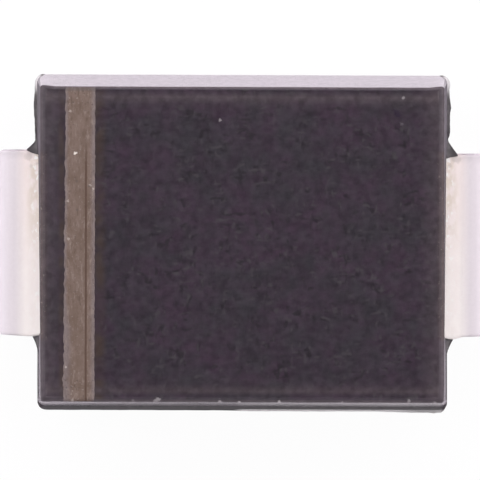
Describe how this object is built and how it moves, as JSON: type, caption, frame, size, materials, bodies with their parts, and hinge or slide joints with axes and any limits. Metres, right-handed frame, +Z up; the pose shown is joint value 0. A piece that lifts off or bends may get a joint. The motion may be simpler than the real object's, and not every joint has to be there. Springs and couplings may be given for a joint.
{
  "type": "tvs diode",
  "caption": "Surface-mount surge-suppressor diode: drafted black moulded case, tinned terminals folded under its ends as solder feet, and a cathode band across the top.",
  "frame": {"origin": "middle of the footprint between the two feet, on the board plane that the feet rest on", "axes": "+X from the marked cathode end to the anode end, +Y across the body, +Z up from the board"},
  "size_m": [0.0052, 0.0036, 0.0023],
  "materials": {
    "mould_compound": "matt black epoxy moulding compound with a faint purple cast",
    "tinned_copper": "matt tin plate over copper strip",
    "silicon": "polished silicon",
    "passivation": "fused milky glass",
    "solder": "dull grey solder",
    "laser_mark": "rough grey-brown laser-marked epoxy"
  },
  "bodies": {
    "root": {"moulded_body": "mould_compound", "cathode_terminal": "tinned_copper", "anode_terminal": "tinned_copper", "silicon_die": "silicon", "passivation_glass": "passivation", "die_solder": "solder", "contact_solder": "solder", "cathode_band": "laser_mark"}
  },
  "joints": []
}
